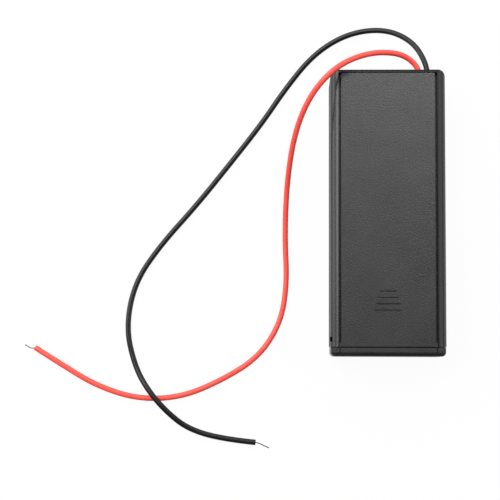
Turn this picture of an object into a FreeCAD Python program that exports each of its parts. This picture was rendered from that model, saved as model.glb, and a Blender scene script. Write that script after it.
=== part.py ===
import FreeCAD, Part
import math
import os

# Enclosed holder for two AAA cells lying side by side, in series, with a slide switch
# and two stripped flying leads. Millimetres.
# X is the width, +Y points to the end that the leads leave, +Z to the sliding cover.
# The origin is under the middle of the box, on its flat back.

Vector = FreeCAD.Vector

# Cells: the size that the whole box is built round
cell_diameter = 10.5
cell_length = 44.5
cell_side_play = 0.8
cell_top_gap = 0.5
contact_room = 3.8

# Case moulding
side_wall = 1.25
floor_thickness = 1.5
end_wall = 1.2
partition_wall = 1.2
lead_wall = 1.5
switch_room = 10.7
shoulder_radius = 1.3
bottom_edge_radius = 0.5
lead_corner_radius = 1.75
open_end_chamfer = 0.15

# Ribs inside the bays
divider_thickness = 1.0
divider_height = 6.0
divider_scallop_depth = 3.2
divider_scallop_width = 17.0
divider_to_end = 1.6
saddle_height = 0.5
saddle_rise = 1.6
saddle_thickness = 1.2
saddle_count = 3
inner_corner_chamfer = 0.6

# Rails that hold the cover
rail_lip_reach = 0.66
rail_lip_thickness = 1.3
ledge_reach = 0.6
ledge_thickness = 0.6
rail_clearance = 0.15

# Cover moulding
plate_thickness = 1.5
plate_side_gap = 0.55
plate_front_gap = 0.15
lead_rebate = 0.9
tongue_thickness = 1.0
tongue_side_clearance = 0.15
tongue_root = 0.8
cap_thickness = 1.95
cap_gap = 0.15
cap_inset = 0.11
cap_edge_radius = 1.0
cap_seat_inset = 0.1
cap_seat_gap = 0.05
gap_web_length = 1.1
gap_web_drop = 0.25
parting_groove_width = 0.3
parting_groove_depth = 0.4
cap_groove_width = 0.25
cap_groove_length = 1.4
groove_overshoot = 0.01

# Grip ribs on the cover
grip_count = 4
grip_shortest = 3.75
grip_step = 0.73
grip_pitch = 1.42
grip_width = 0.5
grip_height = 0.3
grip_to_end = 10.6
grip_crest = 0.3

# Snap latch at the open end of both side walls
latch_to_case_end = 1.7
latch_window_length = 1.1
left_window_height = 2.3
right_window_height = 1.2
latch_bump_reach = 0.5
latch_bump_length = 0.7
latch_bump_height = 0.7
latch_clearance = 0.2

# How far a cut runs past a face, and how deep a joined feature is rooted in its wall
overshoot = 1.0
root = 0.3
edge_tolerance = 0.01

# Contacts, stamped from strip
strip_thickness = 0.3
contact_width = 8.4
contact_to_cover = 1.7
contact_floor_gap = 0.6
contact_corner_radius = 0.6
dimple_base_radius = 2.3
dimple_top_radius = 1.6
dimple_height = 0.7
dimple_wall_at_base = 0.1
tab_width = 3.0
tab_length = 2.6
tab_tip_radius = 0.7
tab_bend_radius = 0.27
tab_solder_to_tip = 1.1
tab_slot_clearance = 0.2
bridge_strip_height = 3.0
guide_thickness = 0.8
guide_lip = 0.6
guide_lip_thickness = 0.55
guide_clearance = 0.1
guide_to_hook = 0.4

# Conical springs
spring_wire = 0.5
spring_wire_sides = 8
spring_base_radius = 3.3
spring_tip_radius = 2.0
spring_length = 5.6
spring_steps_per_turn = 6
spring_flat_steps = 4
spring_climb_steps = 16
hook_width = 1.2
hook_reach = 0.75
hook_clearance = 0.08

# Slide switch
can_length = 10.4
can_width = 5.8
can_height = 4.2
can_sheet = 0.4
can_corner_radius = 0.7
ear_corner_radius = 1.0
ear_length = 3.6
ear_width = 4.6
ear_hole_inset = 1.8
stake_radius = 0.9
stake_hole_clearance = 0.1
stake_head_radius = 1.5
stake_head_height = 0.6
stake_head_gap = 0.03
stake_head_bevel = 0.4
crimp_width = 1.6
crimp_length = 0.9
crimp_to_middle = 3.33
base_thickness = 1.2
base_clearance = 0.05
base_corner_radius = 0.4
terminal_pitch = 2.5
terminal_width = 1.3
terminal_thickness = 0.4
terminal_pin_length = 3.6
terminal_head_width = 1.7
terminal_head_depth = 2.4
terminal_head_thickness = 0.25
terminal_eye_radius = 0.35
terminal_tip_radius = 0.4
eye_to_pin_end = 0.9
knob_length = 2.8
knob_width = 2.8
knob_recess = 0.3
knob_clearance = 0.2
knob_groove = 0.35
knob_groove_pitch = 0.75
knob_edge_radius = 0.25
carriage_length = 5.6
carriage_width = 4.4
carriage_thickness = 1.3
carriage_gap = 0.15
carriage_corner_radius = 0.5
wiper_thickness = 0.2
wiper_width = 1.8
wiper_bump_half = 0.8
wiper_pocket = 0.15
wiper_clearance = 0.1
scoop_length = 10.0
scoop_width = 6.4
scoop_depth = 0.7
scoop_radius = 1.2

# Leads and joints
lead_diameter = 1.3
strand_diameter = 0.4
lead_hole_radius = 0.9
red_hole_x = 7.38
black_hole_x = 9.35
lead_hole_height = 10.65
lead_sides = 10
solder_foot_radius = 0.85
solder_tip_radius = 0.45
solder_height = 0.95
jumper_diameter = 1.0

# Sizes that follow from those above
bay_width = cell_diameter + cell_side_play
inner_half = bay_width + divider_thickness / 2
box_half = inner_half + side_wall
bay_length = cell_length + contact_room
box_height = floor_thickness + saddle_height + cell_diameter + cell_top_gap + plate_thickness
box_length = (cap_thickness + cap_gap + end_wall + bay_length + partition_wall
              + switch_room + lead_wall)
bay_x = divider_thickness / 2 + bay_width / 2
cell_z = floor_thickness + saddle_height + cell_diameter / 2

lead_face_y = box_length / 2
switch_far_y = lead_face_y - lead_wall
partition_far_y = switch_far_y - switch_room
bay_far_y = partition_far_y - partition_wall
bay_near_y = bay_far_y - bay_length
case_end_y = bay_near_y - end_wall
cap_inner_y = case_end_y - cap_gap
cap_face_y = cap_inner_y - cap_thickness
switch_y = switch_far_y - switch_room / 2

rail_inner_half = inner_half - rail_lip_reach
lip_under_z = box_height - rail_lip_thickness
tongue_top_z = lip_under_z - rail_clearance
tongue_under_z = tongue_top_z - tongue_thickness
ledge_top_z = tongue_under_z - rail_clearance
plate_half = rail_inner_half - plate_side_gap
plate_under_z = box_height - plate_thickness
tongue_half = inner_half - tongue_side_clearance
tongue_inner_half = plate_half - tongue_root
wall_top_z = min(plate_under_z, ledge_top_z + tongue_thickness + rail_clearance) - rail_clearance
front_rebate_y = switch_far_y + lead_rebate
plate_front_y = front_rebate_y - plate_front_gap

contact_low_z = floor_thickness + contact_floor_gap
contact_top_z = plate_under_z - contact_to_cover
tab_under_z = contact_top_z - strip_thickness

ear_face_z = floor_thickness
can_top_z = ear_face_z + can_height
base_top_z = can_top_z
base_under_z = base_top_z - base_thickness
terminal_head_z = base_under_z - terminal_head_thickness
pin_end_z = base_top_z + terminal_pin_length
eye_z = pin_end_z - eye_to_pin_end
knob_rest_x = terminal_pitch / 2
slot_half = (knob_length + terminal_pitch) / 2 + knob_clearance
stake_x = can_length / 2 + ear_hole_inset

# The leads' routes, chosen by hand. Inside the box they start at a joint and pass a hole in
# the wall; outside they are offsets from the middle of that hole on the wall's outer face.
red_inside = [
    (0.55, switch_y + 0.85, eye_z + 0.1),
    (3.1, switch_y + 1.0, eye_z + 0.9),
    (6.2, switch_y + 2.0, lead_hole_height - 0.2),
    (red_hole_x + 0.3, lead_face_y - 1.7, lead_hole_height - 0.05),
]
red_outside = [
    (-0.4, 1.5, 0.1),
    (-3.8, 4.0, 1.5),
    (-9.0, 4.1, 4.0),
    (-13.8, 2.7, 6.5),
    (-18.2, 0.4, 8.1),
    (-21.7, -2.5, 7.9),
    (-24.7, -5.7, 4.4),
    (-27.1, -9.7, -1.0),
    (-28.8, -14.6, -6.2),
    (-29.9, -20.3, -9.4),
    (-30.6, -27.6, -10.0),
    (-30.8, -37.6, -10.0),
    (-30.2, -47.6, -10.0),
    (-31.6, -57.1, -10.0),
    (-36.8, -65.4, -10.0),
    (-45.7, -70.9, -10.0),
    (-55.2, -74.6, -10.0),
    (-65.2, -75.0, -10.0),
    (-74.8, -71.9, -10.0),
    (-82.6, -67.2, -10.0),
    (-89.3, -63.1, -10.0),
]
black_inside = [
    (bay_x + 0.25, partition_far_y + 2.5, contact_top_z + 0.7),
    (bay_x + 1.15, partition_far_y + 5.8, contact_top_z + 0.6),
    (black_hole_x + 0.15, lead_face_y - 2.6, lead_hole_height + 0.05),
]
black_outside = [
    (-0.2, 2.2, -0.3),
    (-3.2, 7.9, -2.0),
    (-9.5, 11.4, -5.0),
    (-18.0, 11.0, -7.8),
    (-25.8, 6.4, -9.8),
    (-32.4, -1.4, -10.0),
    (-38.5, -10.2, -10.0),
    (-45.8, -19.8, -10.0),
    (-53.8, -29.5, -10.0),
    (-62.0, -38.9, -10.0),
    (-68.1, -47.8, -10.0),
    (-70.1, -58.4, -10.0),
    (-67.7, -67.5, -9.9),
    (-64.4, -73.1, -8.5),
    (-60.1, -77.8, -8.5),
    (-55.2, -81.7, -9.9),
    (-47.4, -84.0, -10.0),
    (-39.5, -84.8, -10.0),
]
jumper_route = [
    (-bay_x, partition_far_y + 1.9, contact_top_z + 0.6),
    (-bay_x - 0.8, partition_far_y + 4.5, contact_top_z + 0.9),
    (-bay_x + 0.4, switch_y + 2.05, contact_top_z + 0.4),
    (-bay_x + 2.4, switch_y + 2.65, eye_z + 0.9),
    (-terminal_pitch - 0.15, switch_y + 0.85, eye_z + 0.05),
]
red_strand_steps = [(-2.3, 0.9, 0.0)]
black_strand_steps = [(2.8, -1.3, 0.0)]
strand_first_run = 0.8
arc_share = 0.45


def block(x0, x1, y0, y1, z0, z1):
    return Part.makeBox(x1 - x0, y1 - y0, z1 - z0, Vector(x0, y0, z0))


def centred(cx, width, y0, y1, z0, z1):
    return block(cx - width / 2, cx + width / 2, y0, y1, z0, z1)


def prism(points, step):
    """A closed outline of plain points, swept straight along a step."""
    ring = [Vector(*p) for p in points]
    return Part.Face(Part.makePolygon(ring + ring[:1])).extrude(Vector(*step))


def mirrored(points):
    """A half section given for x >= 0, closed by its mirror image."""
    return points + [(-x, y, z) for x, y, z in reversed(points) if x > 0]


def mirror_x(shape):
    return shape.mirror(Vector(0, 0, 0), Vector(1, 0, 0))


def both_sides(shape):
    return [shape, mirror_x(shape)]


def rod(start, end, radius):
    a = Vector(*start)
    step = Vector(*end) - a
    return Part.makeCylinder(radius, step.Length, a, step)


def rounded_rect_prism(cx, cy, length, width, radius, z0, z1):
    body = block(cx - length / 2, cx + length / 2, cy - width / 2, cy + width / 2, z0, z1)
    upright = [e for e in body.Edges if abs(e.Vertexes[0].Z - e.Vertexes[1].Z) > (z1 - z0) / 2]
    return body.makeFillet(radius, upright)


def box_section(inset, y):
    """The box's outer section with its rounded shoulders, as a face at one y."""
    half = box_half - inset
    low = inset
    top = box_height
    shoulder = shoulder_radius - inset
    foot = bottom_edge_radius
    diagonal = math.sqrt(0.5)
    sx = half - shoulder
    sz = top - shoulder
    fx = half - foot
    fz = low + foot
    start = Vector(-fx, y, low)
    right = [
        Part.makeLine(start, Vector(fx, y, low)),
        Part.Arc(Vector(fx, y, low), Vector(fx + foot * diagonal, y, fz - foot * diagonal),
                 Vector(half, y, fz)).toShape(),
        Part.makeLine(Vector(half, y, fz), Vector(half, y, sz)),
        Part.Arc(Vector(half, y, sz), Vector(sx + shoulder * diagonal, y, sz + shoulder * diagonal),
                 Vector(sx, y, top)).toShape(),
        Part.makeLine(Vector(sx, y, top), Vector(-sx, y, top)),
        Part.Arc(Vector(-sx, y, top), Vector(-sx - shoulder * diagonal, y, sz + shoulder * diagonal),
                 Vector(-half, y, sz)).toShape(),
        Part.makeLine(Vector(-half, y, sz), Vector(-half, y, fz)),
        Part.Arc(Vector(-half, y, fz), Vector(-fx - foot * diagonal, y, fz - foot * diagonal),
                 start).toShape(),
    ]
    return Part.Face(Part.Wire(right))


def case_plan():
    """The case seen from above: round corners at the lead end, small chamfers at the open end."""
    body = block(-box_half, box_half, case_end_y, lead_face_y, 0, box_height)
    upright = [e for e in body.Edges if e.BoundBox.ZLength > box_height / 2]
    body = body.makeFillet(lead_corner_radius, [e for e in upright if e.BoundBox.YMin > switch_far_y])
    upright = [e for e in body.Edges if e.BoundBox.ZLength > box_height / 2]
    return body.makeChamfer(open_end_chamfer, [e for e in upright if e.BoundBox.YMax < bay_near_y])


def room_section(y):
    """Half section of the hollow between floor and rails, with the ledges under the rails."""
    ledge_low = ledge_top_z - ledge_thickness
    return mirrored([
        (0, y, floor_thickness),
        (inner_half - inner_corner_chamfer, y, floor_thickness),
        (inner_half, y, floor_thickness + inner_corner_chamfer),
        (inner_half, y, ledge_low - ledge_reach),
        (inner_half - ledge_reach, y, ledge_low),
        (inner_half - ledge_reach, y, wall_top_z),
        (0, y, wall_top_z),
    ])


def channel_section(y):
    """Half section of the way that the cover slides in: plate above, tongues under the lips."""
    top = box_height + overshoot
    foot = tongue_inner_half - rail_clearance
    return mirrored([
        (0, y, wall_top_z),
        (foot, y, wall_top_z),
        (foot, y, ledge_top_z),
        (inner_half, y, ledge_top_z),
        (inner_half, y, lip_under_z),
        (rail_inner_half, y, lip_under_z),
        (rail_inner_half, y, top),
        (0, y, top),
    ])


def cell_divider():
    """Low wall between the cells, scooped out in the middle so that a finger gets under them."""
    x0 = -divider_thickness / 2
    y0 = bay_near_y + divider_to_end
    y1 = bay_far_y
    top = floor_thickness + divider_height
    middle = (y0 + y1) / 2
    half = divider_scallop_width / 2
    scoop_z = top - divider_scallop_depth
    points = [
        Vector(x0, y0, floor_thickness), Vector(x0, y1, floor_thickness), Vector(x0, y1, top),
        Vector(x0, middle + half, top), Vector(x0, middle - half, top), Vector(x0, y0, top),
    ]
    edges = [Part.makeLine(points[0], points[1]), Part.makeLine(points[1], points[2]),
             Part.makeLine(points[2], points[3]),
             Part.Arc(points[3], Vector(x0, middle, scoop_z), points[4]).toShape(),
             Part.makeLine(points[4], points[5]), Part.makeLine(points[5], points[0])]
    return Part.Face(Part.Wire(edges)).extrude(Vector(divider_thickness, 0, 0))


def saddles():
    """Cross ribs hollowed to the cells' round, evenly spaced along the bays."""
    ribs = []
    cell_radius = cell_diameter / 2
    for i in range(saddle_count):
        y = bay_near_y + bay_length * (i + 1) / (saddle_count + 1)
        rib = block(-inner_half, inner_half, y - saddle_thickness / 2, y + saddle_thickness / 2,
                    floor_thickness, floor_thickness + saddle_height + saddle_rise)
        for side in (-1, 1):
            rib = rib.cut(rod((side * bay_x, y - saddle_thickness, cell_z),
                              (side * bay_x, y + saddle_thickness, cell_z), cell_radius))
        ribs.append(rib)
    return ribs


def contact_guide(x, wall_y, inward, side):
    """One upright hook that a contact's edge drops behind. inward points into the bay."""
    edge = x + side * (contact_width / 2 + guide_clearance)
    outer = edge + side * guide_thickness
    lip = edge - side * guide_lip
    lip_y = wall_y + inward * (strip_thickness + guide_clearance)
    front_y = lip_y + inward * guide_lip_thickness
    top = cell_z - hook_width / 2 - guide_to_hook
    post = block(min(edge, outer), max(edge, outer), min(wall_y, front_y), max(wall_y, front_y),
                 floor_thickness, top)
    hook = block(min(lip, outer), max(lip, outer), min(lip_y, front_y), max(lip_y, front_y),
                 floor_thickness, top)
    return post.fuse(hook)


def contact_guides():
    guides = []
    for x in (-bay_x, bay_x):
        for side in (-1, 1):
            guides.append(contact_guide(x, bay_far_y, -1, side))
    for side in (-1, 1):
        guides.append(contact_guide(side * bay_x, bay_near_y, 1, side))
    return guides


def switch_stakes():
    """Two posts through the switch's ears, their ends melted over into low bevelled heads."""
    stakes = []
    ear_top = ear_face_z + can_sheet
    for side in (-1, 1):
        x = side * stake_x
        post = rod((x, switch_y, floor_thickness - root), (x, switch_y, ear_top + root), stake_radius)
        head_z = ear_top + stake_head_gap
        head = Part.makeCylinder(stake_head_radius, stake_head_height, Vector(x, switch_y, head_z))
        rim = [e for e in head.Edges if e.BoundBox.ZMin > head_z + stake_head_height / 2]
        head = head.makeChamfer(stake_head_bevel, rim)
        stakes.append(post.fuse(head))
    return stakes


def latch_cuts(side, window_height):
    """Window through the wall, its sill sloping inwards, and the channel for the bump."""
    inner = side * (inner_half - root)
    y = case_end_y + latch_to_case_end
    z0 = ledge_top_z
    sill_run = side_wall + ledge_reach + root
    low = side * (box_half - sill_run)
    face = side * box_half
    outer = side * (box_half + overshoot)
    near = y - latch_window_length / 2
    top = z0 + window_height
    window = prism([(low, near, z0 - sill_run), (face, near, z0), (outer, near, z0),
                    (outer, near, top), (low, near, top)], (0, latch_window_length, 0))
    depth = side * (inner_half + latch_bump_reach - tongue_side_clearance + latch_clearance)
    channel = block(min(inner, depth), max(inner, depth), case_end_y - overshoot, y, z0,
                    z0 + rail_clearance + latch_bump_height + 2 * latch_clearance)
    return window.fuse(channel)


def knob_slot(z0, z1):
    """The long hole that the knob travels in, through a sheet that lies from z0 to z1."""
    half_width = knob_width / 2 + knob_clearance
    return centred(0, 2 * slot_half, switch_y - half_width, switch_y + half_width,
                   z0 - overshoot, z1 + overshoot)


def case():
    body = box_section(0, case_end_y).extrude(Vector(0, lead_face_y - case_end_y, 0))
    body = body.common(case_plan())
    bay = prism(room_section(bay_near_y), (0, bay_length, 0))
    room = prism(room_section(partition_far_y), (0, switch_room, 0))
    channel_start = case_end_y - overshoot
    channel = prism(channel_section(channel_start), (0, front_rebate_y - channel_start, 0))
    body = body.cut(bay.fuse([room, channel]))

    ribs = [cell_divider()] + saddles() + contact_guides() + switch_stakes()
    body = body.fuse(ribs)

    cuts = [latch_cuts(-1, left_window_height), latch_cuts(1, right_window_height)]
    for x in (-bay_x, bay_x):
        cuts.append(centred(x, tab_width + 2 * tab_slot_clearance, bay_far_y - root,
                            partition_far_y + root, tab_under_z - tab_slot_clearance, box_height))
    for x in (red_hole_x, black_hole_x):
        cuts.append(rod((x, switch_far_y - overshoot, lead_hole_height),
                        (x, lead_face_y + overshoot, lead_hole_height), lead_hole_radius))
    cuts.append(rounded_rect_prism(0, switch_y, scoop_length, scoop_width, scoop_radius,
                                   -overshoot, scoop_depth))
    cuts.append(knob_slot(0, floor_thickness))
    return body.cut(cuts).removeSplitter()


def cover_section(y):
    """Half section of the sliding plate with its side tongues."""
    return mirrored([
        (0, y, plate_under_z),
        (tongue_inner_half, y, plate_under_z),
        (tongue_inner_half, y, tongue_under_z),
        (tongue_half, y, tongue_under_z),
        (tongue_half, y, tongue_top_z),
        (plate_half, y, tongue_top_z),
        (plate_half, y, box_height),
        (0, y, box_height),
    ])


def cap():
    """The cover's turned-down end, with a low seat that meets the case inside the parting line."""
    body = box_section(cap_inset, cap_face_y).extrude(Vector(0, cap_thickness, 0))
    rim = [e for e in body.Edges if e.BoundBox.YMax < cap_face_y + edge_tolerance]
    body = body.makeFillet(cap_edge_radius, rim)
    seat = box_section(cap_inset + cap_seat_inset, cap_inner_y - root)
    return body.fuse(seat.extrude(Vector(0, root + cap_gap - cap_seat_gap, 0)))


def grip_ribs():
    """Raised bars across the plate, each a little shorter than the one nearer the cap."""
    ribs = []
    for i in range(grip_count):
        length = grip_shortest + grip_step * (grip_count - 1 - i)
        y = cap_face_y + grip_to_end + grip_pitch * i
        x = -length / 2
        foot = grip_width / 2
        crest = grip_crest / 2
        top = box_height + grip_height
        section = [(x, y - foot, box_height - root), (x, y + foot, box_height - root),
                   (x, y + foot, box_height), (x, y + crest, top),
                   (x, y - crest, top), (x, y - foot, box_height)]
        ribs.append(prism(section, (length, 0, 0)))
    return ribs


def latch_bump(side):
    """Wedge on the tongue's edge, sloped on the side that enters the case first."""
    y = case_end_y + latch_to_case_end
    inner = side * (tongue_half - root)
    face = side * tongue_half
    crest = side * (tongue_half + latch_bump_reach)
    half = latch_bump_length / 2
    z = tongue_under_z + rail_clearance
    return prism([(inner, y - half, z), (crest, y - half, z), (crest, y, z), (face, y + half, z),
                  (inner, y + half, z)], (0, 0, latch_bump_height))


def v_groove(start, run, width, depth):
    """A cutter for a V groove in the top face, from its start on the middle line, along a run."""
    x, y = start
    half = width / 2
    sideways = (0, half) if run[0] else (half, 0)
    low = (x, y, box_height - depth)
    return prism([(x - sideways[0], y - sideways[1], box_height + groove_overshoot),
                  (x + sideways[0], y + sideways[1], box_height + groove_overshoot), low],
                 (run[0], run[1], 0))


def cover():
    plate = prism(cover_section(cap_inner_y - root), (0, plate_front_y - cap_inner_y + root, 0))
    web = block(plate_half - root, rail_inner_half - rail_clearance, cap_inner_y - root,
                cap_inner_y + gap_web_length, tongue_top_z - root, box_height - gap_web_drop)
    body = cap().fuse([plate] + both_sides(web) + grip_ribs() + [latch_bump(-1), latch_bump(1)])
    reach = plate_half + overshoot
    across = v_groove((-reach, cap_inner_y + cap_gap / 2), (2 * reach, 0),
                      parting_groove_width, parting_groove_depth)
    along = v_groove(((plate_half + rail_inner_half) / 2, cap_inner_y + cap_gap), (0, -cap_groove_length),
                     cap_groove_width, cap_groove_width)
    return body.cut([across] + both_sides(along)).removeSplitter()


def flat_contact(x, wall_y, inward):
    """A stamped square plate standing against a wall."""
    y0 = wall_y
    y1 = wall_y + inward * strip_thickness
    plate = centred(x, contact_width, min(y0, y1), max(y0, y1), contact_low_z, contact_top_z)
    corners = [e for e in plate.Edges if e.BoundBox.YLength > strip_thickness / 2]
    return plate.makeFillet(contact_corner_radius, corners)


def dimple(plate, x, wall_y, inward):
    """A round boss pressed out of the plate towards the cell's button."""
    face = wall_y + inward * strip_thickness
    axis = Vector(0, inward, 0)
    boss = Part.makeCone(dimple_base_radius, dimple_top_radius, dimple_height,
                         Vector(x, face, cell_z), axis)
    hollow = Part.makeCone(dimple_base_radius - dimple_wall_at_base, dimple_top_radius - strip_thickness,
                           dimple_height, Vector(x, wall_y, cell_z), axis)
    return plate.fuse(boss).cut(hollow).removeSplitter()


def cross_edges(shape, y, z0, z1):
    """The straight edges along X or Z that lie at one y between two heights."""
    return [e for e in shape.Edges if abs(e.BoundBox.Center.y - y) < edge_tolerance
            and e.BoundBox.YLength < edge_tolerance and z0 < e.BoundBox.Center.z < z1]


def solder_tab(x):
    """The strip bent off a plate's top edge, over the partition into the switch room."""
    y0 = bay_far_y - strip_thickness
    y1 = partition_far_y + tab_length
    strip = centred(x, tab_width, y0, y1, tab_under_z, contact_top_z)
    middle = (tab_under_z + contact_top_z) / 2
    bend = cross_edges(strip, y0, middle + edge_tolerance, contact_top_z + edge_tolerance)
    strip = strip.makeFillet(tab_bend_radius, bend)
    tip = cross_edges(strip, y1, middle - edge_tolerance, middle + edge_tolerance)
    return strip.makeFillet(tab_tip_radius, tip)


def spring_hooks(x, wall_y, inward):
    """Two tongues raised from the plate and folded over the spring's last coil."""
    face = wall_y + inward * strip_thickness
    over = face + inward * (spring_wire + 2 * hook_clearance)
    outer_y = over + inward * strip_thickness
    hooks = []
    for side in (-1, 1):
        near = x + side * (spring_base_radius + spring_wire / 2 + hook_clearance)
        far = near + side * strip_thickness
        tip = near - side * hook_reach
        z0 = cell_z - hook_width / 2
        z1 = cell_z + hook_width / 2
        post = block(min(near, far), max(near, far), min(face, outer_y), max(face, outer_y), z0, z1)
        fold = block(min(tip, far), max(tip, far), min(over, outer_y), max(over, outer_y), z0, z1)
        hooks += [post, fold]
    return hooks


def positive_contact():
    plate = flat_contact(-bay_x, bay_far_y, -1).fuse(solder_tab(-bay_x))
    return dimple(plate, -bay_x, bay_far_y, -1)


def negative_contact():
    plate = flat_contact(bay_x, bay_far_y, -1)
    return plate.fuse([solder_tab(bay_x)] + spring_hooks(bay_x, bay_far_y, -1)).removeSplitter()


def bridge_contact():
    """One strip across both bays at the cover end: spring side left, button side right."""
    left = flat_contact(-bay_x, bay_near_y, 1)
    right = flat_contact(bay_x, bay_near_y, 1)
    link = block(-bay_x, bay_x, bay_near_y, bay_near_y + strip_thickness,
                 cell_z - bridge_strip_height / 2, cell_z + bridge_strip_height / 2)
    plate = left.fuse([right, link] + spring_hooks(-bay_x, bay_near_y, 1)).removeSplitter()
    return dimple(plate, bay_x, bay_near_y, 1)


def conical_spring(x, wall_y, inward, name):
    """Round wire wound on a cone: a flat wide coil under the plate's hooks, open coils, a flat tip."""
    seat = wall_y + inward * (strip_thickness + hook_clearance + spring_wire / 2)
    steps = 2 * spring_flat_steps + spring_climb_steps
    step_angle = 2 * math.pi / spring_steps_per_turn
    points = []
    for i in range(steps + 1):
        share = min(max((i - spring_flat_steps) / spring_climb_steps, 0), 1)
        radius = spring_base_radius + (spring_tip_radius - spring_base_radius) * share
        corner = radius / math.cos(step_angle / 2)
        angle = (i - 1) * step_angle
        points.append((x + corner * math.cos(angle),
                       seat + inward * (spring_length - spring_wire) * share,
                       cell_z + corner * math.sin(angle)))
    return tube(points, spring_wire, spring_wire_sides, name)


def switch_frame():
    """Pressed steel can with two ears, a slot for the knob and four tabs crimped on the base."""
    half_l = can_length / 2
    half_w = can_width / 2
    shell = block(-half_l, half_l, switch_y - half_w, switch_y + half_w, ear_face_z, can_top_z)
    upright = [e for e in shell.Edges if e.BoundBox.ZLength > can_height / 2]
    shell = shell.makeFillet(can_corner_radius, upright)
    hollow = block(-half_l + can_sheet, half_l - can_sheet, switch_y - half_w + can_sheet,
                   switch_y + half_w - can_sheet, ear_face_z + can_sheet, can_top_z + overshoot)
    upright = [e for e in hollow.Edges if e.BoundBox.ZLength > can_height / 2]
    hollow = hollow.makeFillet(base_corner_radius, upright)
    ears = rounded_rect_prism(0, switch_y, can_length + 2 * ear_length, ear_width,
                              ear_corner_radius, ear_face_z, ear_face_z + can_sheet)
    cuts = [hollow, knob_slot(ear_face_z, ear_face_z + can_sheet)]
    for side in (-1, 1):
        x = side * stake_x
        cuts.append(rod((x, switch_y, ear_face_z - overshoot),
                        (x, switch_y, ear_face_z + can_sheet + overshoot),
                        stake_radius + stake_hole_clearance))
    body = shell.fuse(ears).cut(cuts)
    crimps = []
    for side_x in (-1, 1):
        for side_y in (-1, 1):
            x = side_x * crimp_to_middle
            outer = switch_y + side_y * half_w
            inner = outer - side_y * (can_sheet + crimp_length)
            crimps.append(centred(x, crimp_width, min(outer, inner), max(outer, inner),
                                  can_top_z + base_clearance, can_top_z + base_clearance + can_sheet))
            face = outer - side_y * can_sheet
            crimps.append(centred(x, crimp_width, min(outer, face), max(outer, face),
                                  can_top_z - root, can_top_z + base_clearance + can_sheet))
    return body.fuse(crimps).removeSplitter()


def switch_base():
    """Laminate plate that closes the can and carries the terminals."""
    half_l = can_length / 2 - can_sheet - base_clearance
    half_w = can_width / 2 - can_sheet - base_clearance
    plate = rounded_rect_prism(0, switch_y, 2 * half_l, 2 * half_w, base_corner_radius,
                               base_under_z, base_top_z)
    cuts = []
    for i in (-1, 0, 1):
        x = i * terminal_pitch
        cuts.append(centred(x, terminal_width + 2 * base_clearance,
                            switch_y - terminal_thickness / 2 - base_clearance,
                            switch_y + terminal_thickness / 2 + base_clearance,
                            base_under_z - overshoot, base_top_z + overshoot))
    return plate.cut(cuts)


def switch_terminal(i):
    """Pin with a solder eye, its flat head lying under the base as the fixed contact."""
    x = i * terminal_pitch
    y0 = switch_y - terminal_thickness / 2
    y1 = switch_y + terminal_thickness / 2
    pin = centred(x, terminal_width, y0, y1, terminal_head_z, pin_end_z)
    tip = [e for e in pin.Edges if e.BoundBox.ZMin > eye_z and e.BoundBox.XLength < edge_tolerance]
    pin = pin.makeFillet(terminal_tip_radius, tip)
    eye = rod((x, y0 - overshoot, eye_z), (x, y1 + overshoot, eye_z), terminal_eye_radius)
    head = centred(x, terminal_head_width, switch_y - terminal_head_depth / 2,
                   switch_y + terminal_head_depth / 2, terminal_head_z, base_under_z)
    return pin.cut(eye).fuse(head).removeSplitter()


def switch_slider():
    """Moulded carriage inside the can, with a ribbed knob that stays below the case's back."""
    x = knob_rest_x
    low = ear_face_z + can_sheet + carriage_gap
    top = low + carriage_thickness
    body = rounded_rect_prism(x, switch_y, carriage_length, carriage_width,
                              carriage_corner_radius, low, top)
    knob = centred(x, knob_length, switch_y - knob_width / 2, switch_y + knob_width / 2,
                   knob_recess, low + root)
    rim = [e for e in knob.Edges if e.BoundBox.ZMax < low]
    knob = knob.makeFillet(knob_edge_radius, rim)
    grooves = []
    for i in (-1, 0, 1):
        middle = x + i * knob_groove_pitch
        y = switch_y - knob_width
        z = knob_recess - groove_overshoot
        grooves.append(prism([(middle - knob_groove / 2, y, z), (middle + knob_groove / 2, y, z),
                              (middle, y, knob_recess + knob_groove)], (0, 2 * knob_width, 0)))
    wiper_half = wiper_width / 2 + wiper_clearance
    pocket = centred(x, terminal_pitch + 2 * (wiper_bump_half + wiper_clearance),
                     switch_y - wiper_half, switch_y + wiper_half, top - wiper_pocket, top + overshoot)
    return body.fuse(knob).cut(grooves + [pocket]).removeSplitter()


def switch_wiper():
    """Springy strip in the carriage's pocket, with a bump under each of two terminals."""
    x = knob_rest_x
    low = ear_face_z + can_sheet + carriage_gap + carriage_thickness - wiper_pocket
    half = terminal_pitch / 2
    crest = terminal_head_z - low - carriage_gap
    y = switch_y - wiper_width / 2
    t = wiper_thickness
    bump = wiper_bump_half

    def edge_path(rise):
        z = low + rise
        return [Vector(x - half - bump, y, z), Vector(x - half, y, z + crest - t),
                Vector(x - half + bump, y, z), Vector(x + half - bump, y, z),
                Vector(x + half, y, z + crest - t), Vector(x + half + bump, y, z)]

    under = edge_path(0)
    over = edge_path(t)
    edges = [Part.Arc(under[0], under[1], under[2]).toShape(), Part.makeLine(under[2], under[3]),
             Part.Arc(under[3], under[4], under[5]).toShape(), Part.makeLine(under[5], over[5]),
             Part.Arc(over[5], over[4], over[3]).toShape(), Part.makeLine(over[3], over[2]),
             Part.Arc(over[2], over[1], over[0]).toShape(), Part.makeLine(over[0], under[0])]
    return Part.Face(Part.Wire(edges)).extrude(Vector(0, wiper_width, 0))


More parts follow.
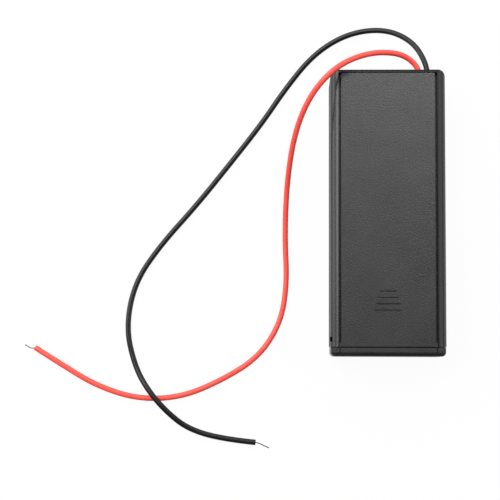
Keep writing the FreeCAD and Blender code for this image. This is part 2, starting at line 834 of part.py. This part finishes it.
def route(points):
    """Straight runs joined by tangent arcs, each arc as large as its two runs allow."""
    knots = [Vector(*p) for p in points]
    edges = []
    radii = []
    here = knots[0]
    for i in range(1, len(knots) - 1):
        back = knots[i - 1] - knots[i]
        ahead = knots[i + 1] - knots[i]
        shorter = min(back.Length, ahead.Length)
        back.normalize()
        ahead.normalize()
        half_turn = (math.pi - back.getAngle(ahead)) / 2
        trim = arc_share * shorter
        radius = trim / math.tan(half_turn)
        start = knots[i] + back * trim
        end = knots[i] + ahead * trim
        inward = (back + ahead).normalize()
        middle = knots[i] + inward * (radius / math.cos(half_turn) - radius)
        edges.append(Part.LineSegment(here, start).toShape())
        edges.append(Part.Arc(start, middle, end).toShape())
        radii.append(radius)
        here = end
    edges.append(Part.LineSegment(here, knots[-1]).toShape())
    return Part.Wire(edges), radii


def wire_ring(start, ahead, radius, sides):
    """The many-sided outline of a wire, square to its first run."""
    turns = [2 * math.pi * i / sides for i in range(sides)]
    corners = [Vector(radius * math.cos(a), radius * math.sin(a), 0) for a in turns]
    ring = Part.makePolygon(corners + corners[:1])
    ring.Placement = FreeCAD.Placement(start, FreeCAD.Rotation(Vector(0, 0, 1), ahead))
    return ring


def tube(points, diameter, sides, name):
    path, radii = route(points)
    knots = [Vector(*p) for p in points]
    ring = wire_ring(knots[0], knots[1] - knots[0], diameter / 2, sides)
    solid = path.makePipeShell([ring], True, False)
    if solid.Volume < 0:
        solid.reverse()
    expected = Part.Face(ring).Area * path.Length
    print(name, "length %.1f volume %.2f expected %.2f valid %s radii"
          % (path.Length, solid.Volume, expected, solid.isValid()), " ".join("%.1f" % r for r in radii))
    return solid


def from_hole(hole_x, offsets):
    return [(hole_x + x, lead_face_y + y, lead_hole_height + z) for x, y, z in offsets]


def strand(lead_points, steps, name):
    """The bared wire, which goes on straight from the insulation before it bends off."""
    end = Vector(*lead_points[-1])
    ahead = end - Vector(*lead_points[-2])
    first = end + ahead.normalize() * strand_first_run
    points = [tuple(end), tuple(first)] + [tuple(end + Vector(*step)) for step in steps]
    return tube(points, strand_diameter, lead_sides, name)


def wire_end(points, diameter):
    return rod(points[0], points[1], diameter / 2)


def pin_solder(x, pin, wire):
    """Cone of solder on the lead side of a pin, round the wire's end."""
    foot = Vector(x, switch_y + terminal_thickness / 2, eye_z)
    bead = Part.makeCone(solder_foot_radius, solder_tip_radius, solder_height, foot, Vector(0, 1, 0))
    return largest(bead.cut(pin).cut(wire))


def tab_solder(x, wire):
    """Cone of solder on a contact's tab, round the wire's end."""
    foot = Vector(x, partition_far_y + tab_length - tab_solder_to_tip, contact_top_z)
    return largest(Part.makeCone(solder_foot_radius, solder_tip_radius, solder_height, foot).cut(wire))


def largest(shape):
    return max(shape.Solids, key=lambda s: s.Volume)


def build():
    red_points = red_inside + from_hole(red_hole_x, red_outside)
    black_points = black_inside + from_hole(black_hole_x, black_outside)
    parts = {
        "case": case(),
        "cover": cover(),
        "positive_contact": positive_contact(),
        "negative_contact": negative_contact(),
        "negative_spring": conical_spring(bay_x, bay_far_y, -1, "negative_spring"),
        "bridge_contact": bridge_contact(),
        "bridge_spring": conical_spring(-bay_x, bay_near_y, 1, "bridge_spring"),
        "switch_frame": switch_frame(),
        "switch_base": switch_base(),
        "switch_terminal_on": switch_terminal(-1),
        "switch_terminal_common": switch_terminal(0),
        "switch_terminal_off": switch_terminal(1),
        "switch_slider": switch_slider(),
        "switch_wiper": switch_wiper(),
        "jumper_wire": tube(jumper_route, jumper_diameter, lead_sides, "jumper_wire"),
        "red_lead": tube(red_points, lead_diameter, lead_sides, "red_lead"),
        "red_lead_strands": strand(red_points, red_strand_steps, "red_lead_strands"),
        "black_lead": tube(black_points, lead_diameter, lead_sides, "black_lead"),
        "black_lead_strands": strand(black_points, black_strand_steps, "black_lead_strands"),
    }
    red = wire_end(red_points, lead_diameter)
    black = wire_end(black_points, lead_diameter)
    jumper_start = wire_end(jumper_route, jumper_diameter)
    jumper_end = wire_end(jumper_route[::-1], jumper_diameter)
    parts["solder_switch_common"] = pin_solder(0, parts["switch_terminal_common"], red)
    parts["solder_switch_on"] = pin_solder(-terminal_pitch, parts["switch_terminal_on"], jumper_end)
    parts["solder_positive"] = tab_solder(-bay_x, jumper_start)
    parts["solder_negative"] = tab_solder(bay_x, black)
    return parts


os.makedirs("parts", exist_ok=True)
for node, shape in build().items():
    shape.exportStep("parts/" + node + ".step")
    print("%-24s solids %d valid %s volume %.2f" % (node, len(shape.Solids), shape.isValid(), shape.Volume))
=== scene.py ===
import math

import bmesh
import bpy
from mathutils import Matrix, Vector


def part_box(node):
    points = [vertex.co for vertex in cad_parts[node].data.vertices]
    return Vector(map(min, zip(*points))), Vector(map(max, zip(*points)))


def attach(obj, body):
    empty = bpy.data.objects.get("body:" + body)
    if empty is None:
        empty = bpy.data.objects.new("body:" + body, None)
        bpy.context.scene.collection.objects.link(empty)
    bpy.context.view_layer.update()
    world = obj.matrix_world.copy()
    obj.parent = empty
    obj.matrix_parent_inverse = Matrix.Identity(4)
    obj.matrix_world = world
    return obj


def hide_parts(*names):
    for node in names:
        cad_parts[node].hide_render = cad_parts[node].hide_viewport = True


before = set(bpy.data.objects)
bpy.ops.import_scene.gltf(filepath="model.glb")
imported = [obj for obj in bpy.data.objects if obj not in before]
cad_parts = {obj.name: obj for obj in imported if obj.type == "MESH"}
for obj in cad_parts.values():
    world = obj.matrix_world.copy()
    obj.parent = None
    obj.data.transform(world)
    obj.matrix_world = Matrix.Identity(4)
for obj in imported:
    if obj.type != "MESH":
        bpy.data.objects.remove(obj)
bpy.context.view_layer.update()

# The box as the model gives it.
scene = bpy.context.scene
scene.view_settings.view_transform = "Standard"
mm = 0.001


# The camera looks almost straight down on the cover, a little from the left and from the
# cover's end, as the photograph does.
camera_data = bpy.data.cameras.new("camera")
camera_data.sensor_width = 36
camera_data.lens = 107.47
camera_data.clip_start = 0.01
camera_data.clip_end = 5
camera = bpy.data.objects.new("camera", camera_data)
camera.location = (-21.54 * mm, -35.37 * mm, 350 * mm)
camera.rotation_mode = "ZYX"
camera.rotation_euler = (math.radians(4.55), math.radians(1.634), math.radians(0.10))
scene.collection.objects.link(camera)
scene.camera = camera


# The two flying leads: thin stranded wire in soft PVC, 1.3 mm over the insulation. They leave
# the box through two holes in its end wall, pass round its corner and lie on the table, the
# black one over the red one near its end. The points are the splines' control points.
lead_diameter = 1.3 * mm
red_points = [
    (0.00055, 0.02650, 0.00850),
    (0.00310, 0.02665, 0.00930),
    (0.00620, 0.02765, 0.01045),
    (0.00768, 0.03080, 0.01060),
    (0.00710, 0.03404, 0.01075),
    (0.00369, 0.03651, 0.01215),
    (-0.00152, 0.03657, 0.01465),
    (-0.00633, 0.03520, 0.01715),
    (-0.01074, 0.03292, 0.01875),
    (-0.01425, 0.02999, 0.01870),
    (-0.01727, 0.02641, 0.01720),
    (-0.01968, 0.02196, 0.01460),
    (-0.02135, 0.01685, 0.01130),
    (-0.02237, 0.01130, 0.00780),
    (-0.02308, 0.00449, 0.00420),
    (-0.02335, -0.00518, 0.00160),
    (-0.02283, -0.01510, 0.00075),
    (-0.02423, -0.02456, 0.00065),
    (-0.02947, -0.03275, 0.00065),
    (-0.03832, -0.03823, 0.00065),
    (-0.04772, -0.04212, 0.00065),
    (-0.05773, -0.04251, 0.00065),
    (-0.06734, -0.03944, 0.00065),
    (-0.07517, -0.03478, 0.00065),
    (-0.08183, -0.03061, 0.00065),
]
black_points = [
    (0.00640, 0.02280, 0.01200),
    (0.00730, 0.02610, 0.01190),
    (0.00950, 0.02990, 0.01070),
    (0.00915, 0.03470, 0.01035),
    (0.00616, 0.04032, 0.00865),
    (-0.00005, 0.04392, 0.00565),
    (-0.00857, 0.04353, 0.00285),
    (-0.01651, 0.03908, 0.00085),
    (-0.02301, 0.03114, 0.00065),
    (-0.02898, 0.02225, 0.00065),
    (-0.03640, 0.01274, 0.00065),
    (-0.04424, 0.00290, 0.00065),
    (-0.05255, -0.00640, 0.00065),
    (-0.05860, -0.01532, 0.00065),
    (-0.06055, -0.02591, 0.00065),
    (-0.05832, -0.03503, 0.00075),
    (-0.05499, -0.04064, 0.00215),
    (-0.05075, -0.04542, 0.00215),
    (-0.04584, -0.04937, 0.00075),
    (-0.03799, -0.05166, 0.00065),
    (-0.03008, -0.05244, 0.00065),
]


class Flow:
    """One output of a shader node. Arithmetic on it adds Math nodes."""

    def __init__(self, finish, socket):
        self.finish = finish
        self.socket = socket

    def maths(self, operation, *others):
        return self.finish.add("ShaderNodeMath", {"operation": operation},
                               dict(enumerate((self, *others))))

    def __add__(self, other):
        return self.maths("ADD", other)

    def __sub__(self, other):
        return self.maths("SUBTRACT", other)

    def __rsub__(self, other):
        return self * -1 + other

    def __mul__(self, other):
        return self.maths("MULTIPLY", other)

    def __abs__(self):
        return self.maths("ABSOLUTE")

    __radd__ = __add__
    __rmul__ = __mul__


class Finish:
    """A material in the making, with one method that adds any node."""

    def __init__(self, name):
        self.material = bpy.data.materials.new(name)
        self.material.use_nodes = True
        self.tree = self.material.node_tree
        self.tree.nodes.clear()
        self.places = self.add("ShaderNodeTexCoord", {}, {}, "Object")

    def add(self, kind, settings, values, output=0):
        """Adds a node: its settings first, then the values or links of its sockets."""
        node = self.tree.nodes.new(kind)
        for key, value in settings.items():
            setattr(node, key, value)
        for key, value in values.items():
            if isinstance(value, Flow):
                self.tree.links.new(value.socket, node.inputs[key])
            else:
                node.inputs[key].default_value = value
        return Flow(self, node.outputs[output])

    def along(self, axis):
        """A point's own X, Y or Z in the object, in metres."""
        return self.add("ShaderNodeSeparateXYZ", {}, {"Vector": self.places}, axis)

    def noise(self, per_mm, detail=2.0, rough=0.5, squeeze=(1, 1, 1)):
        """Noise with so many grains to the millimetre, times squeeze along each axis."""
        scale = tuple(share / mm for share in squeeze)
        place = self.add("ShaderNodeMapping", {}, {"Vector": self.places, "Scale": scale})
        return self.add("ShaderNodeTexNoise", {},
                        {"Vector": place, "Scale": per_mm, "Detail": detail, "Roughness": rough})

    def spread(self, value, low, high, to_low, to_high, kind="LINEAR"):
        """Stretches part of a value's range over another, held at both ends."""
        return self.add("ShaderNodeMapRange", {"interpolation_type": kind},
                        {0: value, 1: low, 2: high, 3: to_low, 4: to_high})

    def mottle(self, noise, most=1):
        """Patches of a noise as a share from 0 to most, with bare ground between them."""
        return self.spread(noise, 0.35, 0.7, 0, most)

    def uneven(self, noise, low, high):
        """A value that wanders from low to high with a noise."""
        return self.spread(noise, 0.3, 0.7, low, high)

    def blend(self, share, first, second):
        return self.add("ShaderNodeMix", {"data_type": "RGBA"},
                        {0: share, 6: first, 7: second}, 2)

    def bump(self, height, depth):
        return self.add("ShaderNodeBump", {}, {"Height": height, "Distance": depth})

    def surface(self, values):
        return self.close(self.add("ShaderNodeBsdfPrincipled", {}, values))

    def close(self, shader):
        end = self.tree.nodes.new("ShaderNodeOutputMaterial")
        self.tree.links.new(shader.socket, end.inputs["Surface"])
        return self.material


def insulation(name, colour, dusty, roughness):
    """Soft PVC drawn over the strands: satin, with faint waves and a little dust."""
    skin = Finish(name)
    waves = skin.noise(per_mm=0.4)
    grain = skin.noise(per_mm=7, detail=3)
    return skin.surface({
        "Base Color": skin.blend(skin.mottle(waves), colour, dusty),
        "Roughness": skin.uneven(grain, roughness - 0.03, roughness + 0.03),
        "Specular IOR Level": 0.28,
        "Normal": skin.bump(waves, 0.012 * mm),
    })


def smooth_line(name, points, steps):
    """A curve of one NURBS spline on the given control points."""
    line = bpy.data.curves.new(name, "CURVE")
    line.dimensions = "3D"
    line.resolution_u = steps
    spline = line.splines.new("NURBS")
    spline.points.add(len(points) - 1)
    for knot, place in zip(spline.points, points):
        knot.co = (*place, 1)
    spline.order_u = 3
    spline.use_endpoint_u = True
    return line


def wire(name, curve, diameter, smoothness, skin):
    """Makes a curve into a piece of round wire with closed ends."""
    curve.bevel_depth = diameter / 2
    curve.bevel_resolution = smoothness
    curve.use_fill_caps = True
    curve.materials.append(skin)
    piece = bpy.data.objects.new(name, curve)
    scene.collection.objects.link(piece)
    return piece


red_skin = insulation("red_pvc", colour=(0.97, 0.076, 0.057, 1),
                      dusty=(0.95, 0.088, 0.067, 1), roughness=0.42)
black_skin = insulation("black_pvc", colour=(0.0065, 0.0055, 0.0065, 1),
                        dusty=(0.009, 0.008, 0.009, 1), roughness=0.30)
red_line = smooth_line("red_lead_skin", red_points, steps=10)
black_line = smooth_line("black_lead_skin", black_points, steps=10)
red_lead = wire("red_lead_skin", red_line, lead_diameter, 6, red_skin)
black_lead = wire("black_lead_skin", black_line, lead_diameter, 6, black_skin)


# The bared ends: seven fine tinned strands twisted together, as they are left when the
# insulation is pulled off. The red lead's strands end in a small kink.
strand_diameter = 0.084 * mm
strand_circle = 0.082 * mm
strands_round = 6
strand_pitch = 3.4 * mm


def tinned_copper():
    metal = Finish("tinned_strand")
    smear = metal.noise(per_mm=4, detail=3)
    return metal.surface({
        "Base Color": metal.blend(metal.mottle(smear), (0.27, 0.26, 0.25, 1),
                                  (0.17, 0.15, 0.14, 1)),
        "Metallic": 1.0,
        "Roughness": metal.uneven(smear, 0.28, 0.45),
        "Normal": metal.bump(smear, 0.01 * mm),
    })


def strand_bundle(name, route, skin, fray):
    """One strand with six wound round it along a short smooth route. The six open towards
    the tip, by fray times their circle."""
    holder = bpy.data.objects.new(name + "_route", smooth_line(name + "_route", route, steps=24))
    middle = [point.co.copy() for point in bpy.data.meshes.new_from_object(holder).vertices]
    bpy.data.objects.remove(holder)
    walked = [0.0]
    for before, after in zip(middle, middle[1:]):
        walked.append(walked[-1] + (after - before).length)
    last = len(middle) - 1
    curve = bpy.data.curves.new(name, "CURVE")
    curve.dimensions = "3D"
    curve.resolution_u = 1
    for i in range(strands_round + 1):
        strand = curve.splines.new("POLY")
        strand.points.add(last)
        circle = strand_circle if i > 0 else 0
        start = 2 * math.pi * i / strands_round
        for index, (place, run) in enumerate(zip(middle, walked)):
            ahead = middle[min(index + 1, last)] - middle[max(index - 1, 0)]
            side = ahead.cross(Vector((0, 0, 1))).normalized()
            over = side.cross(ahead).normalized()
            angle = start + 2 * math.pi * run / strand_pitch
            open_up = 1 + fray * (run / walked[last]) ** 2
            offset = (side * math.cos(angle) + over * math.sin(angle)) * circle * open_up
            strand.points[index].co = (*(place + offset), 1)
    return wire(name, curve, strand_diameter, 3, skin)


strand_metal = tinned_copper()
red_tip_route = [
    (-0.08091, -0.03116, 0.00065),
    (-0.08177, -0.03065, 0.00064),
    (-0.08244, -0.03077, 0.00058),
    (-0.08316, -0.03065, 0.00050),
    (-0.08370, -0.03021, 0.00042),
    (-0.08428, -0.02998, 0.00036),
]
black_tip_route = [
    (-0.03113, -0.05221, 0.00065),
    (-0.02996, -0.05244, 0.00065),
    (-0.02903, -0.05271, 0.00060),
    (-0.02799, -0.05324, 0.00048),
    (-0.02696, -0.05370, 0.00038),
]
red_tip = strand_bundle("red_lead_tip", red_tip_route, strand_metal, fray=0.36)
black_tip = strand_bundle("black_lead_tip", black_tip_route, strand_metal, fray=0.2)

for skin_piece, tip_piece, node, slot, points, length in (
        (red_lead, red_tip, "red_lead", "red_insulation", red_points, 0.1651),
        (black_lead, black_tip, "black_lead", "black_insulation", black_points, 0.1685)):
    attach(skin_piece, "box")
    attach(tip_piece, "box")
    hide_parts(node)
    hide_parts(node + "_strands")


# The case: one hollow moulding in black ABS, satin on its rails, with slightly softened
# edges. Its end wall holds the two lead holes, and its rails hold the cover.
def dress(node, material):
    """Gives a model node its finish; nothing of its shape changes."""
    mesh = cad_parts[node].data
    mesh.materials.clear()
    mesh.materials.append(material)


sharp_angle = math.radians(28)


def shading_rule():
    """Curved faces shade as one surface; only edges over the sharp angle stay crisp."""
    rule = bpy.data.node_groups.new("smooth_curves", "GeometryNodeTree")
    rule.interface.new_socket("Mesh", in_out="INPUT", socket_type="NodeSocketGeometry")
    rule.interface.new_socket("Mesh", in_out="OUTPUT", socket_type="NodeSocketGeometry")
    start = rule.nodes.new("NodeGroupInput")
    angle = rule.nodes.new("GeometryNodeInputMeshEdgeAngle")
    crisp = rule.nodes.new("FunctionNodeCompare")
    crisp.operation = "GREATER_THAN"
    crisp.inputs["B"].default_value = sharp_angle
    normals = rule.nodes.new("GeometryNodeSetMeshNormal")
    end = rule.nodes.new("NodeGroupOutput")
    rule.links.new(angle.outputs["Unsigned Angle"], crisp.inputs["A"])
    rule.links.new(start.outputs["Mesh"], normals.inputs["Mesh"])
    rule.links.new(crisp.outputs["Result"], normals.inputs["Edge Sharpness"])
    rule.links.new(normals.outputs["Mesh"], end.inputs["Mesh"])
    return rule


smooth_curves = shading_rule()


def soften(node, width):
    """Merges a node's loose triangles and rounds its sharp edges a little, as moulding does."""
    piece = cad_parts[node]
    weld = piece.modifiers.new("weld", "WELD")
    weld.merge_threshold = 0.0005 * mm
    flat = piece.modifiers.new("flat", "DECIMATE")
    flat.decimate_type = "DISSOLVE"
    flat.angle_limit = math.radians(0.4)
    shading = piece.modifiers.new("shading", "NODES")
    shading.node_group = smooth_curves
    edge = piece.modifiers.new("edge", "BEVEL")
    edge.width = width
    edge.segments = 2
    edge.limit_method = "ANGLE"
    edge.angle_limit = sharp_angle
    edge.use_clamp_overlap = True
    faces = piece.modifiers.new("faces", "WEIGHTED_NORMAL")
    faces.keep_sharp = True


def black_abs(name, colour, worn, roughness, grain_depth, grain_per_mm):
    """The start of a black ABS finish: a fine spark-eroded grain, softly clouded and specked
    with a paler tone. It gives the finish, its colour, its roughness and its height in mm."""
    plastic = Finish(name)
    grain = plastic.noise(grain_per_mm, detail=3, rough=0.6)
    clouds = plastic.mottle(plastic.noise(per_mm=0.12, detail=3), most=0.5)
    specks = plastic.spread(plastic.noise(grain_per_mm * 0.8), 0.62, 0.8, 0, 1)
    skin = plastic.blend(clouds.maths("MAXIMUM", specks), colour, worn)
    gloss = plastic.spread(grain, 0.25, 0.75, roughness * 0.85, roughness * 1.2)
    return plastic, skin, gloss, grain * (grain_depth / mm)


def moulded(plastic, skin, gloss, height, sheen=0.37):
    return plastic.surface({
        "Base Color": skin,
        "Roughness": gloss,
        "Specular IOR Level": sheen,
        "Normal": plastic.bump(height, 1.0 * mm),
    })


def case_finish():
    """The rails round off gently into their shoulders, and the side walls are coarser."""
    plastic, skin, gloss, height = black_abs(
        "case_plastic", colour=(0.0085, 0.0085, 0.009, 1), worn=(0.0125, 0.0125, 0.013, 1),
        roughness=0.25, grain_depth=0.004 * mm, grain_per_mm=5)
    crown_mm = 0.45
    crest_x, shoulder_x, wall_x = 11.05 * mm, 12.9 * mm, 13.02 * mm
    back_z, end_wall_y = 0.3 * mm, 32.3 * mm
    out = abs(plastic.along("X"))
    crown = plastic.spread(out, crest_x, shoulder_x, crown_mm, 0, "SMOOTHSTEP")
    above_back = plastic.spread(plastic.along("Z"), back_z, back_z + 0.6 * mm, 0, 1)
    before_end = plastic.spread(plastic.along("Y"), end_wall_y, end_wall_y + 0.15 * mm, 1, 0)
    coarse = plastic.spread(out, wall_x, wall_x + 0.02 * mm, 0, 0.4)
    return moulded(plastic, skin, gloss + coarse, height + crown * above_back * before_end)


dress("case", case_finish())
soften("case", 0.12 * mm)


# The cover: plate, side tongues and turned-down end cap in one black moulding, with four
# grip ribs. Its plate is spark-eroded to a duller grain than the case. It slides in the rails.
def cover_finish():
    """Painted shade: the cover's colour is painted near black, and its roughness raised, along
    the joint where the cap meets the case.
    """
    plastic, skin, gloss, height = black_abs(
        "cover_plastic", colour=(0.0065, 0.0065, 0.007, 1), worn=(0.015, 0.015, 0.0155, 1),
        roughness=0.34, grain_depth=0.050 * mm, grain_per_mm=3.3)
    joint_y = -30.5 * mm
    joint_half = 0.05 * mm
    from_joint = abs(plastic.along("Y") - joint_y)
    # Painted shade: near black and duller within a hair of the cap-case joint.
    painted_joint_shade = plastic.spread(from_joint, joint_half, joint_half + 0.04 * mm, 1, 0)
    skin = plastic.blend(painted_joint_shade, skin, (0.002, 0.002, 0.002, 1))
    return moulded(plastic, skin, gloss + painted_joint_shade * 0.6, height, sheen=0.27)


dress("cover", cover_finish())
soften("cover", 0.09 * mm)


# Contacts: nickel-plated strip, stamped and bent, pushed down behind the case's guides. One
# has a pressed button for the cell, one has hooks for a spring, and one joins both bays at
# the cap's end.
def plated(name, colour, shade, roughness, squeeze=(1, 1, 1)):
    """Plated or bare metal. Its rolling lines run along the axis of the least squeeze."""
    metal = Finish(name)
    rolled = metal.noise(per_mm=6, detail=4, rough=0.6, squeeze=squeeze)
    tarnish = metal.noise(per_mm=0.5, detail=3)
    return metal.surface({
        "Base Color": metal.blend(metal.mottle(tarnish, most=0.8), colour, shade),
        "Metallic": 1.0,
        "Roughness": metal.uneven(rolled, roughness - 0.07, roughness + 0.1),
        "Normal": metal.bump(rolled, 0.004 * mm),
    })


nickel_strip = plated("contact_plate", colour=(0.74, 0.72, 0.67, 1),
                      shade=(0.62, 0.59, 0.53, 1), roughness=0.30, squeeze=(0.3, 1, 3))
for node in ("positive_contact", "negative_contact", "bridge_contact"):
    dress(node, nickel_strip)
    soften(node, 0.05 * mm)


# Springs: round nickel-plated wire, wound on a cone. The wide flat coil sits under the
# contact's two hooks and the narrow end presses on the cell.
spring_wire = 0.5 * mm
spring_wide = 3.3 * mm
spring_narrow = 2.0 * mm
spring_climb = 5.1 * mm
flat_turns = 4 / 6
open_turns = 16 / 6
steps_a_turn = 24
gentle_start = 0.35
bay_x = 6.15 * mm
cell_z = 7.25 * mm


def spring(name, node, middle_x, seat_y, inward, skin):
    """A coil whose wide end rests at seat_y and whose tip points inward along y."""
    curve = bpy.data.curves.new(name, "CURVE")
    curve.dimensions = "3D"
    curve.resolution_u = 1
    coil = curve.splines.new("POLY")
    coil.points.add(int((2 * flat_turns + open_turns) * steps_a_turn))
    for i, knot in enumerate(coil.points):
        turn = i / steps_a_turn
        share = min(max((turn - flat_turns) / open_turns, 0), 1)
        risen = share * share * (3 - 2 * share) * gentle_start + share * (1 - gentle_start)
        radius = spring_wide + (spring_narrow - spring_wide) * share
        angle = 2 * math.pi * (turn - 1 / 6)
        knot.co = (middle_x + radius * math.cos(angle), seat_y + inward * spring_climb * risen,
                   cell_z + radius * math.sin(angle), 1)
    piece = wire(name, curve, spring_wire, 4, skin)
    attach(piece, "box")
    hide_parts(node)


spring_metal = plated("spring_wire", colour=(0.76, 0.74, 0.70, 1),
                      shade=(0.64, 0.61, 0.56, 1), roughness=0.24)
bridge_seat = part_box("bridge_spring")[0][1] + spring_wire / 2
negative_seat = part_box("negative_spring")[1][1] - spring_wire / 2
spring("bridge_spring_coil", "bridge_spring", -bay_x, bridge_seat, 1, spring_metal)
spring("negative_spring_coil", "negative_spring", bay_x, negative_seat, -1, spring_metal)


# The slide switch: a tinned steel can staked to the back, a laminate base crimped into it,
# three terminals, and a black carriage that carries a springy bronze wiper.
can_steel = plated("switch_steel", colour=(0.70, 0.69, 0.66, 1),
                   shade=(0.58, 0.56, 0.52, 1), roughness=0.33, squeeze=(3, 0.3, 1))
pin_metal = plated("terminal_brass", colour=(0.74, 0.68, 0.54, 1),
                   shade=(0.60, 0.54, 0.42, 1), roughness=0.32, squeeze=(1, 1, 0.3))
wiper_metal = plated("wiper_copper", colour=(0.80, 0.50, 0.30, 1),
                     shade=(0.62, 0.36, 0.22, 1), roughness=0.30, squeeze=(0.3, 3, 1))


def paper_laminate():
    board = Finish("switch_laminate")
    fibres = board.noise(per_mm=2.2, detail=4, rough=0.6, squeeze=(0.3, 3, 1))
    return board.surface({
        "Base Color": board.blend(board.uneven(fibres, 0, 1), (0.30, 0.15, 0.065, 1),
                                  (0.42, 0.24, 0.11, 1)),
        "Roughness": board.uneven(fibres, 0.5, 0.65),
        "Normal": board.bump(fibres, 0.01 * mm),
    })


knob_black = moulded(*black_abs(
    "knob_plastic", colour=(0.015, 0.015, 0.016, 1), worn=(0.024, 0.024, 0.025, 1),
    roughness=0.45, grain_depth=0.006 * mm, grain_per_mm=5))
dress("switch_frame", can_steel)
dress("switch_base", paper_laminate())
dress("switch_wiper", wiper_metal)
dress("switch_slider", knob_black)
for node in ("switch_terminal_on", "switch_terminal_common", "switch_terminal_off"):
    dress(node, pin_metal)
for node in ("switch_frame", "switch_base", "switch_slider"):
    soften(node, 0.05 * mm)


# Solder: four small tin joints, melted on by hand. They hold the two leads and the jumper, a
# short wire in red PVC from the positive contact to the switch.
def solder_finish():
    metal = Finish("solder")
    frost = metal.noise(per_mm=3, detail=4)
    return metal.surface({
        "Base Color": metal.blend(metal.mottle(frost), (0.80, 0.80, 0.79, 1),
                                  (0.66, 0.66, 0.66, 1)),
        "Metallic": 1.0,
        "Roughness": metal.uneven(frost, 0.16, 0.36),
        "Normal": metal.bump(frost, 0.03 * mm),
    })


solder_metal = solder_finish()
for node in ("solder_switch_common", "solder_switch_on", "solder_positive", "solder_negative"):
    dress(node, solder_metal)
dress("jumper_wire", red_skin)


# The table and the light: a white sweep under soft studio light from the far side and the
# left, as for a product photograph on white.
floor_half = 1.6
floor_mesh = bpy.data.meshes.new("floor")
floor_shape = bmesh.new()
bmesh.ops.create_grid(floor_shape, x_segments=1, y_segments=1, size=floor_half)
floor_shape.to_mesh(floor_mesh)
floor_shape.free()
floor = bpy.data.objects.new("floor", floor_mesh)
scene.collection.objects.link(floor)


def white_table():
    """A pale table that keeps part of the object's shadow and is white to the camera. Glossy
    plastic sees it glowing white beside and beyond the box; in front of the cap that glow is
    painted down to grey, a painted shade in its reflections."""

    sheet = Finish("white_table")
    def white(strength):
        return sheet.add("ShaderNodeEmission", {}, {"Color": (1, 1, 1, 1), "Strength": strength})

    near_y, far_y = -40 * mm, -28 * mm
    to_camera = sheet.add("ShaderNodeLightPath", {}, {}, "Is Camera Ray")
    to_gloss = sheet.add("ShaderNodeLightPath", {}, {}, "Is Glossy Ray")
    grey = sheet.add("ShaderNodeBsdfDiffuse", {}, {"Color": (0.34, 0.34, 0.34, 1)})
    glow = sheet.add("ShaderNodeMixShader", {}, {0: to_gloss, 1: white(1.06), 2: white(1.56)})
    # Painted shade in reflections: the glow that glossy rays see fades to grey in front of the
    # cap.
    painted_glow_share = sheet.spread(sheet.along("Y"), near_y, far_y, 0.05, 0.85)
    share = to_camera * 0.90 + to_gloss * painted_glow_share
    return sheet.close(sheet.add("ShaderNodeMixShader", {}, {0: share, 1: grey, 2: glow}))


floor_mesh.materials.append(white_table())

world = bpy.data.worlds.new("studio")
world.use_nodes = True
room_light = world.node_tree.nodes["Background"]
room_light.inputs["Color"].default_value = (1, 1, 1, 1)
ray = world.node_tree.nodes.new("ShaderNodeLightPath")
brightness = world.node_tree.nodes.new("ShaderNodeMapRange")
brightness.inputs["To Min"].default_value = 0.18
brightness.inputs["To Max"].default_value = 1.0
world.node_tree.links.new(ray.outputs["Is Camera Ray"], brightness.inputs["Value"])
world.node_tree.links.new(brightness.outputs["Result"], room_light.inputs["Strength"])
scene.world = world


def softbox(name, place, width, height, watts, aim=(-0.01, 0, 0), lights_only=None):
    """A soft lamp; with lights_only it is flagged off everything but that one node."""
    data = bpy.data.lights.new(name, "AREA")
    data.shape = "RECTANGLE"
    data.size = width
    data.size_y = height
    data.energy = watts
    lamp = bpy.data.objects.new(name, data)
    lamp.location = place
    lamp.rotation_mode = "QUATERNION"
    lamp.rotation_quaternion = (Vector(aim) - Vector(place)).to_track_quat("-Z", "Y")
    scene.collection.objects.link(lamp)
    if lights_only:
        lit_nodes = bpy.data.collections.new(name + "_lights")
        lit_nodes.objects.link(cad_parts[lights_only])
        lamp.light_linking.receiver_collection = lit_nodes


softbox("top_box", (0.0, 0.15, 0.88), width=0.5, height=0.5, watts=0.55)
softbox("left_high", (-0.32, 0.24, 0.80), width=0.60, height=0.35, watts=4.6)
softbox("left_middle", (-0.64, 0.26, 0.58), width=0.9, height=0.40, watts=2.2)
softbox("left_low", (-0.82, 0.34, 0.202), width=0.9, height=0.38, watts=4.4)
softbox("far_box", (-0.02, 0.36, 0.24), width=0.7, height=0.30, watts=1.6, aim=(-0.02, 0, 0))
softbox("right_box", (0.68, 0.12, 0.52), width=0.7, height=0.8, watts=2.8)
softbox("cover_box", (0.20, 0.44, 0.75), width=0.3, height=0.3, watts=9.4, lights_only="cover")
